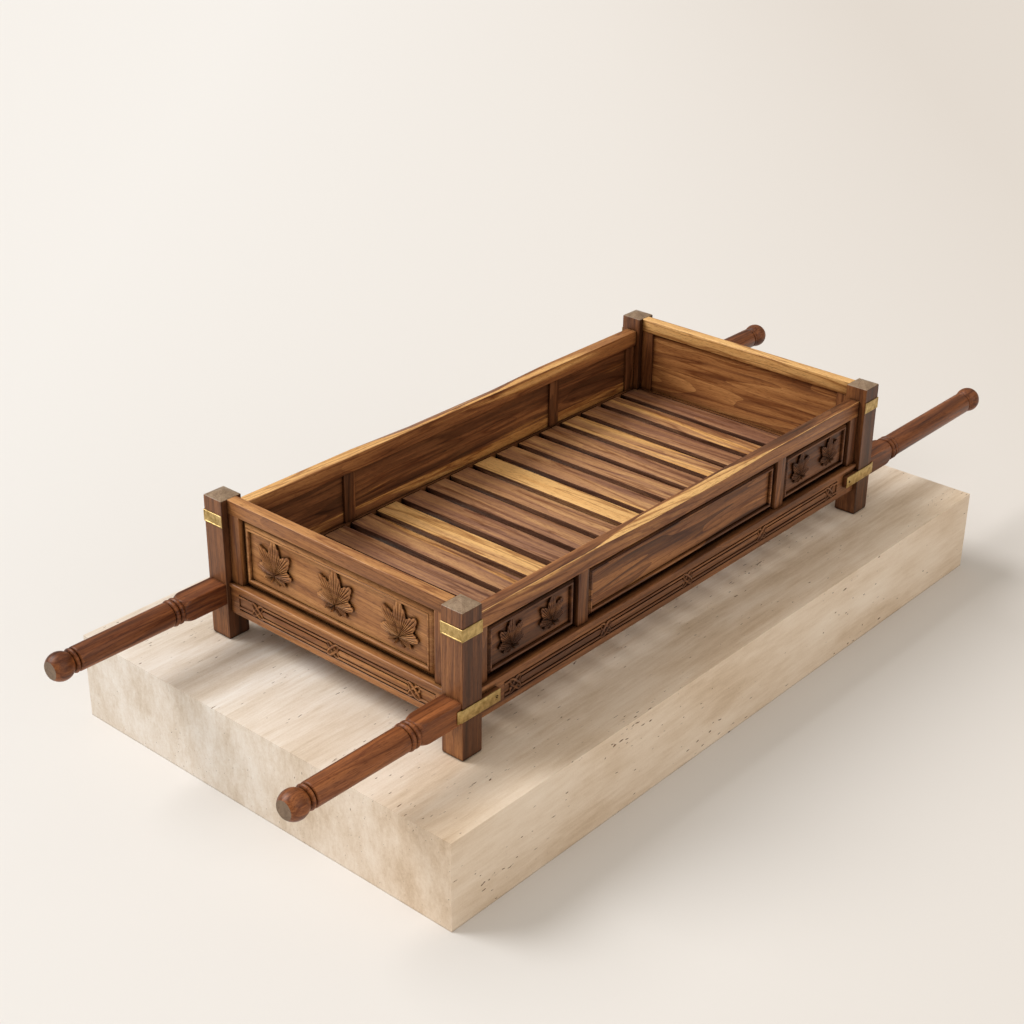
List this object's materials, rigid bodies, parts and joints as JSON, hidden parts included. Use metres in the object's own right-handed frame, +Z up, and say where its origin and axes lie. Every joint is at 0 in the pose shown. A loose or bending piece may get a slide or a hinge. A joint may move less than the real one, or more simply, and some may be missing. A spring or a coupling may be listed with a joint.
{
  "type": "funeral bier",
  "caption": "Open frame-and-panel walnut tray on square posts with turned carrying handles, carved panels, brass corner straps and a slatted deck, standing on a stone plinth.",
  "frame": {"origin": "middle of the plinth's underside, at floor level", "axes": "+X along the tray from its foot to its head, +Y to its left, +Z up"},
  "size_m": [3.348, 1.476, 0.737],
  "materials": {
    "walnut_frame": "oiled, satin",
    "walnut_deck": "oiled, satin",
    "aged_brass": "brushed and aged",
    "travertine": "honed"
  },
  "bodies": {
    "root": {"corner_band_foot_left": "aged_brass", "corner_band_foot_right": "aged_brass", "corner_band_head_left": "aged_brass", "corner_band_head_right": "aged_brass", "corner_strap_foot_left": "aged_brass", "corner_strap_foot_right": "aged_brass", "corner_strap_head_left": "aged_brass", "corner_strap_head_right": "aged_brass", "foot_bottom_rail": "walnut_frame", "foot_panel": "walnut_frame", "foot_stiles": "walnut_frame", "foot_top_rail": "walnut_frame", "handle_foot_left": "walnut_frame", "handle_foot_right": "walnut_frame", "handle_head_left": "walnut_frame", "handle_head_right": "walnut_frame", "head_bottom_rail": "walnut_frame", "head_panel": "walnut_frame", "head_stiles": "walnut_frame", "head_top_rail": "walnut_frame", "left_bottom_rail": "walnut_frame", "left_panel_a": "walnut_frame", "left_panel_b": "walnut_frame", "left_panel_c": "walnut_frame", "left_stiles": "walnut_frame", "left_top_rail": "walnut_frame", "plinth": "travertine", "post_foot_left": "walnut_frame", "post_foot_right": "walnut_frame", "post_head_left": "walnut_frame", "post_head_right": "walnut_frame", "right_bottom_rail": "walnut_frame", "right_panel_a": "walnut_frame", "right_panel_b": "walnut_frame", "right_panel_c": "walnut_frame", "right_stiles": "walnut_frame", "right_top_rail": "walnut_frame", "slat_01": "walnut_deck", "slat_02": "walnut_deck", "slat_03": "walnut_deck", "slat_04": "walnut_deck", "slat_05": "walnut_deck", "slat_06": "walnut_deck", "slat_07": "walnut_deck", "slat_08": "walnut_deck", "slat_09": "walnut_deck", "slat_10": "walnut_deck", "slat_11": "walnut_deck", "slat_12": "walnut_deck", "slat_13": "walnut_deck", "slat_14": "walnut_deck", "slat_15": "walnut_deck", "slat_16": "walnut_deck", "slat_17": "walnut_deck", "slat_ledger_left": "walnut_frame", "slat_ledger_right": "walnut_frame"}
  },
  "joints": []
}
